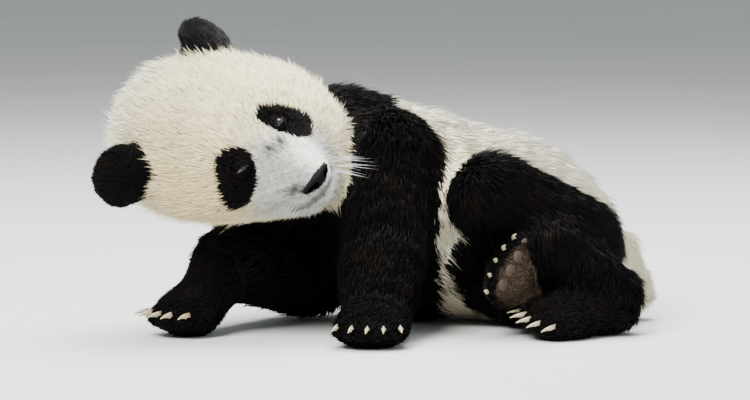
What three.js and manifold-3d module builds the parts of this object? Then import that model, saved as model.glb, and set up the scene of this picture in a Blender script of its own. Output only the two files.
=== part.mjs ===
// A young giant panda lying on its belly, its head rolled onto its right forearm.
// Millimetres. X runs from head to rump, Y from the panda's left side to its right, Z is up.
// Each node is one closed body whose outside is the tips of the coat: an icosahedron sphere blown out, ray by
// ray, onto a smooth form made of ellipsoids and tapered bones. Neighbours are cut back to leave a thin gap.
import * as THREE from "three";
import { mergeVertices } from "three/addons/utils/BufferGeometryUtils.js";
import Module from "manifold-3d";

const wasm = await Module();
wasm.setup();

const V = (x, y, z) => new THREE.Vector3(x, y, z);

// ---------------------------------------------------------------- driving dimensions
const GAP = 0.4; // clearance between neighbouring nodes
const HEAD_WIDTH = 282; // over the fur of the cheeks
const HEAD_CENTRE = V(-224, -142, 251);
const HEAD_FACING = V(0.588, -0.803, 0.1); // where the nose points
const HEAD_CROWN = V(-0.601, -0.351, 0.718); // where the crown points
const EYE_RADIUS = 11;
const EYE_SINK = 8; // how far an eye's middle lies under the tips of the fur
const EAR_RADIUS = 48;
const PILLOW_TOP = 163; // height of the flat that the cheek is pressed to by the forearm under it
const TOE_RADIUS = 14;
const CLAW_LENGTH = 35;
const CLAW_RADIUS = 5.4;
const CLAW_CURL = 16; // how far a claw's tip drops

const COLOURS = { cream: 0xe9e6d8, black: 0x1d1c1c, iris: 0x1a100a, leather: 0x2a2b2d, horn: 0x6f6656 };

// ---------------------------------------------------------------- smooth forms
// A form is a function of a point that is below 0 inside and grows by about 1 per millimetre.
const ellipsoid = (centre, radii, axes) => (p) => {
  const q = V().subVectors(p, centre);
  if (axes) q.set(q.dot(axes[0]), q.dot(axes[1]), q.dot(axes[2]));
  const near = q.clone().divide(radii);
  const steep = near.clone().divide(radii);
  const k = near.length();
  return k < 1e-6 ? -Math.min(radii.x, radii.y, radii.z) : (k * (k - 1)) / steep.length();
};

// An ellipsoid whose underside is shallower than its top.
const egg = (centre, radii, depth) => {
  const top = ellipsoid(centre, radii);
  const underside = ellipsoid(centre, V(radii.x, radii.y, depth));
  return (p) => (p.z > centre.z ? top(p) : underside(p));
};

const bone = (from, to, radiusFrom, radiusTo) => (p) => {
  const along = V().subVectors(to, from);
  const t = THREE.MathUtils.clamp(V().subVectors(p, from).dot(along) / along.lengthSq(), 0, 1);
  const nearest = V().copy(from).addScaledVector(along, t);
  return nearest.distanceTo(p) - THREE.MathUtils.lerp(radiusFrom, radiusTo, t);
};

const blend = (soft, ...forms) => (p) =>
  forms.map((form) => form(p)).reduce((a, b) => {
    const h = Math.max(soft - Math.abs(a - b), 0) / soft;
    return Math.min(a, b) - (h * h * soft) / 4;
  });

// A form pressed flat from below at a height, with a soft edge.
const pressed = (soft, height, form) => (p) => {
  const inside = form(p);
  const below = height - p.z;
  const h = Math.max(soft - Math.abs(inside - below), 0) / soft;
  return Math.max(inside, below) + (h * h * soft) / 4;
};

// ---------------------------------------------------------------- solids
function solidOf(geometry) {
  const bare = geometry.clone();
  for (const name of Object.keys(bare.attributes)) if (name !== "position") bare.deleteAttribute(name);
  const merged = mergeVertices(bare, 1e-3);
  const triVerts = new Uint32Array(merged.index.array);
  const vertProperties = new Float32Array(merged.attributes.position.array);
  return new wasm.Manifold(new wasm.Mesh({ numProp: 3, vertProperties, triVerts }));
}

function geometryOf(solid) {
  const mesh = solid.getMesh();
  const geometry = new THREE.BufferGeometry();
  geometry.setAttribute("position", new THREE.BufferAttribute(mesh.vertProperties, 3));
  geometry.setIndex(new THREE.BufferAttribute(mesh.triVerts, 1));
  geometry.computeVertexNormals();
  return geometry;
}

// Blows an icosahedron sphere out along its rays, from the line between two points, to where form = level.
function wrap({ form, from, to = from, detail }, level) {
  const sphere = new THREE.IcosahedronGeometry(1, detail);
  const places = sphere.attributes.position;
  const half = V().subVectors(to, from).multiplyScalar(0.5);
  const middle = V().addVectors(from, to).multiplyScalar(0.5);
  const axis = half.clone().normalize();
  const ray = V();
  const start = V();
  const point = V();
  const reach = (distance) => form(point.copy(start).addScaledVector(ray, distance)) - level;
  const stride = 3;
  for (let i = 0; i < places.count; i++) {
    ray.fromBufferAttribute(places, i).normalize();
    start.copy(middle).addScaledVector(half, ray.dot(axis));
    let outside = stride;
    while (reach(outside) < 0) outside += stride;
    let inside = outside - stride;
    for (let step = 0; step < 16; step++) {
      const between = (inside + outside) / 2;
      if (reach(between) < 0) inside = between;
      else outside = between;
    }
    places.setXYZ(i, ...point.copy(start).addScaledVector(ray, outside));
  }
  return solidOf(sphere);
}

// A node's whole solid, and a copy larger by the gap that its neighbours are cut back by.
const body = (recipe, colour) => ({ colour, solid: wrap(recipe, 0), grown: wrap(recipe, GAP) });

// ---------------------------------------------------------------- the head, in its own axes
const forward = HEAD_FACING.clone().normalize();
const leftward = V().crossVectors(HEAD_CROWN, forward).normalize();
const crownward = V().crossVectors(forward, leftward);
const headAxes = [forward, leftward, crownward];
const HALF = HEAD_WIDTH / 2;
const SIDES = { left: 1, right: -1 };

// A direction and a place on the head, in half head widths: forward, to the panda's left, towards the crown.
const headWay = (f, l, u) =>
  V(0, 0, 0).addScaledVector(forward, f).addScaledVector(leftward, l).addScaledVector(crownward, u);
const onHead = (f, l, u) => headWay(f, l, u).multiplyScalar(HALF).add(HEAD_CENTRE);
const headBall = (place, radii) => ellipsoid(onHead(...place), V(...radii).multiplyScalar(HALF), headAxes);

const skull = headBall([-0.06, 0.07, 0.08], [0.8, 0.99, 0.81]);
const crown = headBall([-0.3, 0.02, 0.28], [0.8, 0.84, 0.84]); // the dome between the ears, and the nape
const leftCheek = headBall([0.2, 0.55, -0.29], [0.58, 0.6, 0.58]); // fluffed out, on top
const rightCheek = headBall([0.2, -0.37, -0.24], [0.54, 0.52, 0.52]); // underneath
const throat = headBall([0.32, 0.22, -0.68], [0.42, 0.42, 0.36]);
const brow = (side) => headBall([0.38, 0.27 * side, 0.26], [0.3, 0.3, 0.28]);
const muzzle = bone(onHead(0.66, 0, -0.28), onHead(0.96, 0, -0.39), 0.39 * HALF, 0.275 * HALF);
const chin = headBall([0.82, 0, -0.6], [0.3, 0.27, 0.19]);
const cranium = blend(60, blend(30, skull, crown), leftCheek, rightCheek, throat);
const headForm = pressed(
  36, PILLOW_TOP, blend(34, cranium, brow(1), brow(-1), blend(24, muzzle, chin)),
);
const head = () => body({ form: headForm, from: HEAD_CENTRE, detail: 6 }, COLOURS.cream);

// An eye lies on the ray from the middle of the head through its place, sunk so that a cap of it shows.
const EYE_PLACE = { left: [0.7, 0.25, 0.11], right: [0.7, -0.31, 0.11] };
function eye(side) {
  const ray = headWay(...EYE_PLACE[side]).normalize();
  let surface = 0;
  while (headForm(HEAD_CENTRE.clone().addScaledVector(ray, surface)) < 0) surface += 0.5;
  const centre = HEAD_CENTRE.clone().addScaledVector(ray, surface - EYE_SINK);
  const ball = ellipsoid(centre, V(EYE_RADIUS, EYE_RADIUS, EYE_RADIUS));
  return body({ form: ball, from: centre, detail: 1 }, COLOURS.iris);
}

// An ear is a thick round disc, cupped forward and a little outward.
const EAR_PLACE = { left: [-0.07, 0.69, 0.67], right: [-0.08, -0.8, 0.51] };
const EAR_WAY = { left: [-0.5, 0.3, 0.85], right: [-0.22, -0.5, 0.84] };
function ear(side) {
  const out = headWay(...EAR_WAY[side]).normalize();
  const face = headWay(0.85, 0.45 * SIDES[side], 0.1);
  const across = V().crossVectors(out, face).normalize();
  const thick = V().crossVectors(across, out);
  const centre = onHead(...EAR_PLACE[side]).addScaledVector(out, 0.62 * EAR_RADIUS);
  const disc = ellipsoid(centre, V(1, 1.05, 0.42).multiplyScalar(EAR_RADIUS), [out, across, thick]);
  return body({ form: disc, from: centre, detail: 2 }, COLOURS.black);
}

function nose() {
  const place = [1.155, 0, -0.385];
  const pad = headBall(place, [0.1, 0.22, 0.115]);
  return body({ form: pad, from: onHead(...place), detail: 2 }, COLOURS.leather);
}

// ---------------------------------------------------------------- trunk, neck and tail
const chest = ellipsoid(V(25, 15, 158), V(145, 145, 162));
const belly = ellipsoid(V(138, 15, 148), V(148, 152, 133));
const loin = egg(V(203, 15, 108), V(138, 148, 142), 92);
const rump = egg(V(234, 15, 50), V(136, 145, 102), 48);
const trunkForm = blend(40, chest, belly, loin, rump);
const trunk = () =>
  body({ form: trunkForm, from: V(-30, 15, 150), to: V(250, 15, 90), detail: 5 }, COLOURS.cream);

// The neck turns at its middle, from the spine's way to the base of the skull.
const NAPE = V(-200, -66, 226);
const NECK_TURN = V(-82, -14, 233);
const WITHERS = V(-8, 22, 204);
const neckForm = blend(20, bone(NAPE, NECK_TURN, 86, 114), bone(NECK_TURN, WITHERS, 114, 126));
const neck = () => body({ form: neckForm, from: NAPE, to: WITHERS, detail: 3 }, COLOURS.cream);

const segment = (colour, detail, from, to, radiusFrom, radiusTo) =>
  body({ form: bone(from, to, radiusFrom, radiusTo), from, to, detail }, colour);
const limb = (...sizes) => segment(COLOURS.black, 3, ...sizes);

// ---------------------------------------------------------------- paws and claws
// A paw runs from its root to the ball behind the toes; dorsum points out of its back, and curl is how far
// the tips of its claws drop.
function paw({ root, ball, dorsum, rootRadius, width, thickness, curl = CLAW_CURL }) {
  const ahead = V().subVectors(ball, root).projectOnPlane(dorsum.clone().normalize()).normalize();
  const across = V().crossVectors(dorsum, ahead).normalize();
  const up = V().crossVectors(ahead, across);
  const axes = [ahead, across, up];
  const spacing = (width - 2 * TOE_RADIUS) / 4;
  const toes = [-2, -1, 0, 1, 2].map((i) => ({
    at: ball
      .clone()
      .addScaledVector(ahead, (0.4 - 0.035 * i * i) * width)
      .addScaledVector(across, i * spacing)
      .addScaledVector(up, -0.08 * thickness),
    ahead: ahead.clone().addScaledVector(across, 0.1 * i).addScaledVector(up, 0.35).normalize(),
    up,
    curl,
  }));
  const pad = ellipsoid(ball, V(0.42 * width, 0.5 * width, 0.5 * thickness), axes);
  const balls = toes.map((toe) => ellipsoid(toe.at, V(1.35, 1, 1).multiplyScalar(TOE_RADIUS), axes));
  const form = blend(10, blend(30, bone(root, ball, rootRadius, 0.42 * thickness), pad), ...balls);
  const recipe = { form, from: root.clone().lerp(ball, 0.4), to: ball, detail: 4 };
  return { ...body(recipe, COLOURS.black), toes };
}

// A claw leaves the toe ahead of its middle and curls down, thinning to a point.
function claw({ at, ahead, up, curl }) {
  const cone = new THREE.ConeGeometry(CLAW_RADIUS, CLAW_LENGTH, 4, 3);
  cone.translate(0, CLAW_LENGTH / 2, 0);
  const places = cone.attributes.position;
  for (let i = 0; i < places.count; i++) {
    const along = places.getY(i) / CLAW_LENGTH;
    places.setZ(i, 1.25 * places.getZ(i) - curl * along * along);
  }
  cone.applyMatrix4(new THREE.Matrix4().makeBasis(V().crossVectors(ahead, up), ahead, up));
  const root = at.clone().addScaledVector(ahead, 0.6 * TOE_RADIUS).addScaledVector(up, 0.25 * TOE_RADIUS);
  cone.translate(...root);
  return { solid: solidOf(cone), colour: COLOURS.horn };
}

const paws = {
  paw_left: paw({
    root: V(-12, -236, 46), ball: V(-18, -288, 28), dorsum: V(0, 0, 1),
    rootRadius: 50, width: 110, thickness: 64,
  }),
  paw_right: paw({
    root: V(-222, -112, 94), ball: V(-276, -166, 32), dorsum: V(0, 0, 1),
    rootRadius: 54, width: 106, thickness: 64,
  }),
  foot_left: paw({
    root: V(320, -156, 40), ball: V(246, -196, 27), dorsum: V(0.1, -0.2, 1),
    rootRadius: 42, width: 100, thickness: 58,
  }),
  foot_right: paw({
    root: V(188, -58, 47), ball: V(180, -174, 84), dorsum: V(-0.77, 0.57, 0.25),
    rootRadius: 46, width: 106, thickness: 66, curl: 30,
  }),
};

// ---------------------------------------------------------------- nodes: each gives way to those before it
const nodes = {
  eye_left: eye("left"),
  eye_right: eye("right"),
  shank_right: limb(V(152, 160, 57), V(184, -20, 50), 60, 47),
  trunk: trunk(),
  upper_arm_left: limb(V(2, -72, 238), V(-3, -152, 122), 82, 66),
  upper_arm_right: limb(V(-2, 98, 205), V(-108, 36, 70), 84, 66),
  thigh_left: limb(V(258, -85, 118), V(148, -128, 194), 84, 66),
  thigh_right: limb(V(252, 92, 112), V(147, 156, 92), 96, 68),
  forearm_left: limb(V(-3, -158, 116), V(-10, -228, 52), 66, 55),
  forearm_right: limb(V(-110, 30, 66), V(-210, -98, 100), 67, 62),
  shank_left: limb(V(230, -144, 126), V(320, -145, 56), 56, 47),
  neck: neck(),
  tail: segment(COLOURS.cream, 2, V(338, 20, 112), V(357, 24, 46), 27, 33),
  head: head(),
  nose: nose(),
  ear_left: ear("left"),
  ear_right: ear("right"),
  ...paws,
};
for (const [name, { toes }] of Object.entries(paws))
  toes.forEach((toe, i) => (nodes[`${name}_claw_${i + 1}`] = claw(toe)));

const underFloor = solidOf(new THREE.BoxGeometry(2000, 2000, 400).translate(0, 0, -200));
const largestOf = (solid) => solid.decompose().reduce((a, b) => (b.volume() > a.volume() ? b : a));

const group = new THREE.Group();
const earlier = [];
for (const [name, node] of Object.entries(nodes)) {
  const solid = earlier.reduce((rest, grown) => rest.subtract(grown), node.solid.subtract(underFloor));
  if (node.grown) earlier.push(node.grown);
  const material = new THREE.MeshStandardMaterial({ color: node.colour, roughness: 0.85, metalness: 0 });
  const mesh = new THREE.Mesh(geometryOf(largestOf(solid)), material);
  mesh.name = name;
  group.add(mesh);
}

// The origin is on the floor, under the middle of the whole animal.
const middle = new THREE.Box3().setFromObject(group).getCenter(V());
group.position.set(-middle.x, -middle.y, 0);

export default group;
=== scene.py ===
"""A young giant panda at rest on its belly: skin, coat, eyes, nose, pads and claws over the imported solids.

The solids reach the tips of the coat. The skin is the same body drawn in by the depth of the coat, and
the coat is solid tufts that grow from the skin and lie along the body. All sizes are in metres.
"""

import math

import bmesh
import bpy
import numpy as np
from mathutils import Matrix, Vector
from mathutils.bvhtree import BVHTree
from mathutils.kdtree import KDTree


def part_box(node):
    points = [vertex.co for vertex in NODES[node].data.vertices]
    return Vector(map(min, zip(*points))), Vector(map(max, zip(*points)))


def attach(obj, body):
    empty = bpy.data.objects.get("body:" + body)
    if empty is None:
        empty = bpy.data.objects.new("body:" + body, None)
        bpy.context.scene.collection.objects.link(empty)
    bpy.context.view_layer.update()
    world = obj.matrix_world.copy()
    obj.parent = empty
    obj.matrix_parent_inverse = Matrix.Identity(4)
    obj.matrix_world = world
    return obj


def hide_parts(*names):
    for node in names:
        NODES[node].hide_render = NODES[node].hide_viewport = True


# -------- sizes and colours

SKIN_VOXEL = 0.005
WELD = 1e-6
OVERLAP = 0.0007  # each solid grows by this, so that neighbours run into each other
SHRINK_STEPS = 8
LEAST_ROOM = 0.7  # the coat keeps at least this share of its depth
MORE_ROOM = 0.009  # and makes up for at most this where smoothing has thinned the skin
LID_COAT = 0.2  # the coat's depth on the lids, as a share of the head's

# depth of the coat over each part of the body, how far its tufts reach, and how far apart they grow
COAT_DEPTH = {
    "head": 0.013, "ear": 0.006, "neck": 0.018, "trunk": 0.019, "tail": 0.010,
    "upper_arm": 0.015, "forearm": 0.013, "paw": 0.006, "thigh": 0.016, "shank": 0.013, "foot": 0.007,
}
TUFT_LENGTH = {
    "head": 0.020, "ear": 0.013, "neck": 0.034, "trunk": 0.038, "tail": 0.030,
    "upper_arm": 0.034, "forearm": 0.030, "paw": 0.013, "thigh": 0.036, "shank": 0.030, "foot": 0.016,
}
TUFT_SPACING = {
    "head": 0.00160, "ear": 0.0013, "neck": 0.0021, "trunk": 0.0021, "tail": 0.0021,
    "upper_arm": 0.0023, "forearm": 0.0022, "paw": 0.0018, "thigh": 0.0023, "shank": 0.0022, "foot": 0.0018,
}
NOSE_TUFT = (0.0035, 0.0011)  # the length and spacing of the tufts next to the nose, and of those on the sole
SOLE_TUFT = (0.006, 0.0016)
RUFF = 0.3  # how much longer the tufts of the lower cheeks are, to the side of and under these places
RUFF_SIDE = (0.5, 0.9)
RUFF_TOP = (0.3, -0.1)
UNDER_THINNING = 0.6  # how much further apart the tufts grow where the body lies on the floor
UNDER_HEIGHTS = (0.07, 0.03)  # this comes in down between these heights, as the skin turns to face down
UNDER_FACING = (-0.3, -0.7)
TUFT_LIMIT = 33000  # tufts in one piece, at six triangles each
TUFT_WIDTH = 0.95  # a tuft's widest place, in spacings
TUFT_THICKNESS = 0.42  # its thickness there, in widths
BAKE_PATCH = 0.003  # width of a tuft's patch on the OFBake map

CREAM = (0.93, 0.85, 0.59)
CREAM_YELLOW_AND_SHADE = (0.82, 0.69, 0.39)
CREAM_WHITE = (0.98, 0.98, 0.95)
CREAM_BACK = (0.96, 0.93, 0.76)
CREAM_RUMP = (0.92, 0.86, 0.64)
MUZZLE_GREY = (0.56, 0.56, 0.54)
# the dark of the muzzle's flecks, and of the painted shade in the mouth's crease
DARK_FLECK_AND_SHADE = (0.035, 0.028, 0.024)
BLACK = (0.0032, 0.0031, 0.0034)
BLACK_BROWN = (0.040, 0.020, 0.010)
SOLE = (0.078, 0.056, 0.038)
LIP = (0.020, 0.016, 0.015)
# a painted glint along each lower lid's wet edge
LID_GLINT = (0.10, 0.095, 0.09)
PAD = (0.085, 0.062, 0.048)

# -------- frame

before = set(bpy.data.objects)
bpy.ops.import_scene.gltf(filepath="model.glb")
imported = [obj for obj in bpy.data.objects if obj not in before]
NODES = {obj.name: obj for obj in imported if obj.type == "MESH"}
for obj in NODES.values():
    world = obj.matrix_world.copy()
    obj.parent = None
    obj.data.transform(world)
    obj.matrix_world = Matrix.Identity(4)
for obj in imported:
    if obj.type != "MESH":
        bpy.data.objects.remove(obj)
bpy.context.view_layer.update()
CLAWS = sorted(n for n in NODES if "_claw_" in n)
BALLS = ["eye_left", "eye_right", "nose"]
FLESH = sorted(n for n in NODES if n not in CLAWS and n not in BALLS)
RANDOM = np.random.default_rng(20)


def part_of(node):
    """The part of the body that a node belongs to, with no side."""
    return node.replace("_left", "").replace("_right", "")


def is_part(labels, *parts):
    """Whether each vertex belongs to one of the parts of the body."""
    return np.array([part_of(node) in parts for node in FLESH])[labels]


def centre(node):
    """The middle of a node's box."""
    low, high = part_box(node)
    return np.array((low + high) / 2)


def unit(v):
    """Vectors brought to length 1, along the last axis."""
    v = np.asarray(v, float)
    return v / np.maximum(np.linalg.norm(v, axis=-1, keepdims=True), 1e-12)


def smooth(low, high, x):
    """0 below low, 1 above high, with a soft step between them."""
    t = np.clip((x - low) / (high - low), 0, 1)
    return t * t * (3 - 2 * t)


def mix(a, b, share):
    """Numbers: a at share 0 and b at share 1."""
    return a * (1 - share) + b * share


def blend(a, b, share):
    """Colours: a at share 0 and b at share 1, for each share."""
    return mix(np.asarray(a, float), np.asarray(b, float), np.asarray(share, float)[:, None])


# -------- the head's own axes

# where the eyes and nose sit, in half head widths from the head's middle: forward, leftward, crownward
LANDMARKS = {
    "eye_left": (0.760, 0.271, 0.119),
    "eye_right": (0.735, -0.326, 0.116),
    "nose": (1.160, -0.001, -0.385),
}


def landmark_axes(left, right, nose):
    """Three axes fixed by the eyes and the nose: across the eyes, down to the nose, and out of both."""
    left, right, nose = (np.array(p, float) for p in (left, right, nose))
    across = unit(left - right)
    down = nose - (left + right) / 2
    down = unit(down - across * (down @ across))
    return np.array([across, down, np.cross(across, down)])


_places = [centre(n) for n in LANDMARKS]
_locals = [np.array(p) for p in LANDMARKS.values()]
HEAD_AXES = landmark_axes(*_locals).T @ landmark_axes(*_places)
FORWARD, LEFTWARD, CROWNWARD = HEAD_AXES
HALF = np.linalg.norm(_places[0] - _places[1]) / np.linalg.norm(_locals[0] - _locals[1])
HEAD_MIDDLE = np.mean(_places, axis=0) - HALF * np.mean(_locals, axis=0) @ HEAD_AXES


def on_head(points):
    """Points in half head widths from the head's middle: forward, leftward, crownward."""
    return (points - HEAD_MIDDLE) @ HEAD_AXES.T / HALF


def from_head(place):
    """A place given in half head widths, in the row frame."""
    return HEAD_MIDDLE + HALF * np.asarray(place) @ HEAD_AXES


# -------- mesh tools


def linked(name, data):
    """A new object in the scene that shows a mesh, a lamp or a camera."""
    obj = bpy.data.objects.new(name, data)
    bpy.context.scene.collection.objects.link(obj)
    return obj


def mesh_from(bm, name):
    """What was built in bm, as a new mesh."""
    mesh = bpy.data.meshes.new(name)
    bm.to_mesh(mesh)
    bm.free()
    return mesh


def triangulate(mesh):
    """Splits a mesh's faces into triangles."""
    bm = bmesh.new()
    bm.from_mesh(mesh)
    bmesh.ops.triangulate(bm, faces=bm.faces)
    bm.to_mesh(mesh)
    bm.free()


def surface(co, tris):
    """A triangle mesh in a form that answers which place on it is nearest."""
    return BVHTree.FromPolygons(co.tolist(), tris.tolist())


def corners_of(mesh):
    """A mesh's vertices as an array."""
    co = np.empty(len(mesh.vertices) * 3, np.float32)
    mesh.vertices.foreach_get("co", co)
    return co.reshape(-1, 3).astype(float)


def set_corners(mesh, co):
    """Moves a mesh's vertices."""
    mesh.vertices.foreach_set("co", co.astype(np.float32).ravel())
    mesh.update()


def triangles_of(mesh):
    """A triangulated mesh's faces as an array of vertex numbers."""
    index = np.empty(len(mesh.loops), np.int32)
    mesh.loops.foreach_get("vertex_index", index)
    return index.reshape(-1, 3)


def vertex_normals(co, tris):
    """Each vertex's normal, as the mean of its triangles' by area."""
    face = np.cross(co[tris[:, 1]] - co[tris[:, 0]], co[tris[:, 2]] - co[tris[:, 0]])
    total = [sum(np.bincount(tris[:, k], face[:, axis], len(co)) for k in range(3)) for axis in range(3)]
    return unit(np.stack(total, axis=1))


def edges_of(tris):
    """Each edge of a triangle mesh once, as pairs of vertex numbers."""
    pairs = np.sort(np.concatenate([tris[:, [0, 1]], tris[:, [1, 2]], tris[:, [2, 0]]]), axis=1)
    return np.unique(pairs, axis=0)


def spread(values, edges, rounds, keep=0.5):
    """Values drawn towards the mean of their neighbours' on the mesh, a number of times."""
    a, b = edges.T
    flat = values.reshape(len(values), -1).astype(float)
    count = np.maximum(np.bincount(a, minlength=len(flat)) + np.bincount(b, minlength=len(flat)), 1)
    for _ in range(rounds):
        near = [np.bincount(a, line[b], len(flat)) + np.bincount(b, line[a], len(flat)) for line in flat.T]
        flat = flat * keep + (1 - keep) * np.array(near).T / count[:, None]
    return flat.reshape(values.shape)


def ripple(points, size, seed, waves=6):
    """A smooth random field from about -1 to 1, whose ups and downs are about size apart."""
    draw = np.random.default_rng(seed)
    direction = unit(draw.normal(size=(waves, 3))) * 2 * math.pi / size
    direction *= draw.uniform(0.6, 1.6, (waves, 1))
    phase = draw.uniform(0, 2 * math.pi, waves)
    return np.sin(points @ direction.T + phase).sum(axis=1) / math.sqrt(waves * 1.5)


# -------- skin


def remeshed(obj, voxel):
    """The object's mesh made again as one closed surface of even quads."""
    modifier = obj.modifiers.new("remesh", "REMESH")
    modifier.mode = "VOXEL"
    modifier.voxel_size = voxel
    modifier.adaptivity = 0
    depsgraph = bpy.context.evaluated_depsgraph_get()
    mesh = bpy.data.meshes.new_from_object(obj.evaluated_get(depsgraph))
    bpy.data.objects.remove(obj)
    return mesh


def grown_solids(nodes, by):
    """The nodes' solids in one object, each swollen a little so that they overlap."""
    bm = bmesh.new()
    for node in nodes:
        bm.from_mesh(NODES[node].data)
    bmesh.ops.remove_doubles(bm, verts=bm.verts, dist=WELD)
    bm.normal_update()
    for v in bm.verts:
        v.co += v.normal * by
    return linked("solids", mesh_from(bm, "solids"))


def keep_largest(bm):
    """Deletes all but the largest of the mesh's islands."""
    seen, islands = set(), []
    for start in bm.verts:
        if start in seen:
            continue
        seen.add(start)
        island, edge = [start], [start]
        while edge:
            v = edge.pop()
            for e in v.link_edges:
                w = e.other_vert(v)
                if w not in seen:
                    seen.add(w)
                    island.append(w)
                    edge.append(w)
        islands.append(island)
    islands.sort(key=len)
    bmesh.ops.delete(bm, geom=[v for island in islands[:-1] for v in island], context="VERTS")


FACE_REACH = 0.62  # within this of the nose, in half head widths, the skin has a finer mesh
MOUTH_REACH = 0.36  # and within this a finer one again


def refine(bm, reach):
    """Halves the mesh's edges within reach of the nose."""
    bm.verts.ensure_lookup_table()
    inside = nose_distance(on_head(np.array([v.co for v in bm.verts]))) < reach
    picked = [e for e in bm.edges if inside[e.verts[0].index] and inside[e.verts[1].index]]
    bmesh.ops.subdivide_edges(bm, edges=picked, cuts=1, use_grid_fill=True)
    bm.verts.index_update()


def nearest_node(points):
    """For each point, the number in FLESH of the solid whose surface is nearest."""
    corners, faces, owner = [], [], []
    for number, node in enumerate(FLESH):
        mesh = NODES[node].data
        start = len(corners)
        corners += [v.co for v in mesh.vertices]
        faces += [[start + i for i in p.vertices] for p in mesh.polygons]
        owner += [number] * len(mesh.polygons)
    tree = BVHTree.FromPolygons(corners, faces)
    owner = np.array(owner)
    return owner[[tree.find_nearest(Vector(p))[2] for p in points]]


def by_part(table, labels):
    """Each vertex's value in a table that is kept by part of the body."""
    return np.array([table[part_of(node)] for node in FLESH])[labels]


# the parts of the body that run into each other with no crease between them
JOINED = (
    ("head", "neck"), ("neck", "trunk"), ("trunk", "tail"), ("trunk", "upper_arm"), ("neck", "upper_arm"),
    ("upper_arm", "forearm"), ("forearm", "paw"), ("trunk", "thigh"), ("thigh", "shank"), ("shank", "foot"),
)
CREASE_REACH = 7  # rounds by which a crease spreads over the mesh, and then is worn down
CREASE_ROUNDS = 40
NAPE_REACH = 14  # the same for the crease between the back of the head and the neck
NAPE_ROUNDS = 160
NAPE_FRONT = -0.25  # the nape lies behind this, in half head widths forward
CREASE_GAIN = 3  # how much wider than its fading edge a crease is worn, and how far it gives way in a round
CREASE_WEAR = 0.8


def run_together(a, b):
    """Whether two nodes are neighbours whose flesh runs together."""
    sides = {n.rsplit("_", 1)[1] for n in (a, b) if n.endswith(("_left", "_right"))}
    pair = (part_of(a), part_of(b))
    return len(sides) < 2 and (pair in JOINED or pair[::-1] in JOINED)


def worn_down(co, edges, seam, reach, rounds):
    """The skin with the crease along the seam's edges worn down."""
    crease = np.zeros(len(co))
    crease[edges[seam].ravel()] = 1
    crease = np.clip(spread(crease, edges, reach) * CREASE_GAIN, 0, 1)[:, None]
    for _ in range(rounds):
        co = mix(co, spread(co, edges, 1, keep=0), crease * CREASE_WEAR)
    return co


def worn_creases(co, edges, labels):
    """The skin with the creases between neighbouring parts worn down, most of all at the nape."""
    joined = np.array([[run_together(a, b) for b in FLESH] for a in FLESH])
    a, b = labels[edges].T
    co = worn_down(co, edges, joined[a, b], CREASE_REACH, CREASE_ROUNDS)
    head, neck = FLESH.index("head"), FLESH.index("neck")
    behind = on_head(co[edges].mean(axis=1))[:, 0] < NAPE_FRONT
    nape = behind & (np.minimum(a, b) == min(head, neck)) & (np.maximum(a, b) == max(head, neck))
    return worn_down(co, edges, nape, NAPE_REACH, NAPE_ROUNDS)


# the coat thins from the cheeks in to the nose, is shorter on the chin, and thins round each eye
FACE_FADE = (0.15, 1.15)
CHIN_FADE = (-0.52, -0.66)
CHIN_SHARE = 0.75
EYE_THINNING = 0.55
EYE_ROUND = 0.24
BACK_FADE = (0.15, -0.55)  # the places forward between which the face's coat turns into the neck's


def eye_distance(h):
    """How far a place on the head is from the nearer eye, in half head widths."""
    return np.minimum(*(np.linalg.norm(h - LANDMARKS[e], axis=1) for e in ("eye_left", "eye_right")))


def nose_distance(h):
    """How far a place on the head is from the nose, in half head widths."""
    return np.linalg.norm(h - LANDMARKS["nose"], axis=1)


def face_share(h):
    """0 at the nose, about half at the eyes, and 1 over the cheeks, crown, chin and neck."""
    away = smooth(*FACE_FADE, nose_distance(h))
    away = np.maximum(away, CHIN_SHARE * smooth(*CHIN_FADE, h[:, 2]))
    return away * (1 - EYE_THINNING * np.exp(-((eye_distance(h) / EYE_ROUND) ** 2)))


def back_share(h):
    """0 over the face and 1 over the back of the head, whose coat is that of the neck."""
    return smooth(*BACK_FADE, h[:, 0])


NOSE_SKIN_DEPTH = 0.0012


def coat_depth(co, labels):
    """Depth of the coat at each vertex: its part's own, thinning towards the nose and eyes."""
    h = on_head(co)
    thin = mix(NOSE_SKIN_DEPTH, COAT_DEPTH["head"], face_share(h))
    own = by_part(COAT_DEPTH, labels)
    return np.where(is_part(labels, "head"), mix(thin, COAT_DEPTH["neck"], back_share(h)), own)


# the mouth's line as a height over the muzzle, falling away to the sides, in half head widths
MOUTH_HEIGHT = -0.560
MOUTH_DROP = 0.55
MOUTH_ENDS = (0.80, 0.88)  # the places forward between which the mouth's corners fade out
MUZZLE_REAR = 0.7  # the bare lips lie forward of this
LIP_WIDTH = 0.020
LIP_GROOVE = 0.0034
MOUTH_SHADE = 0.75  # painted shade in the mouth's crease: how dark the coat over the parting is, how far over it, and how wide to each side
MOUTH_SHADE_RISE = 0.050
MOUTH_SHADE_WIDTH = 0.045
NOSE_BED = 0.014  # how far the hide is pressed back under the bare nose
NOSE_HALF = (0.20, 0.078)  # half the bare nose's width and height
NOSE_RIM = (1.05, 0.85)  # its rim fades over this share of its size
NOSE_FRONT = (0.95, 1.05)  # and between these places forward
NOSE_THIN = 0.74  # the bare nose's height against its solid's
CHIN_SET_BACK = 0.003  # how far the chin lies back under the lips
CHIN_TOP = (0.02, 0.12)  # how far under the parting of the lips it begins
CHIN_REAR = (0.7, 1.0)  # the places forward between which it fades in


def along_mouth(h, rise, width):
    """1 on a line along the parting of the lips and at a rise over it, fading away from it by its width."""
    f, l, u = h.T
    height = MOUTH_HEIGHT - MOUTH_DROP * l * l + rise
    return np.exp(-(((u - height) / width) ** 2)) * smooth(*MOUTH_ENDS, f)


def mouth_line(h):
    """How strongly each place on the head belongs to the parting of the lips, from 0 to 1."""
    return along_mouth(h, 0, LIP_WIDTH)


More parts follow.
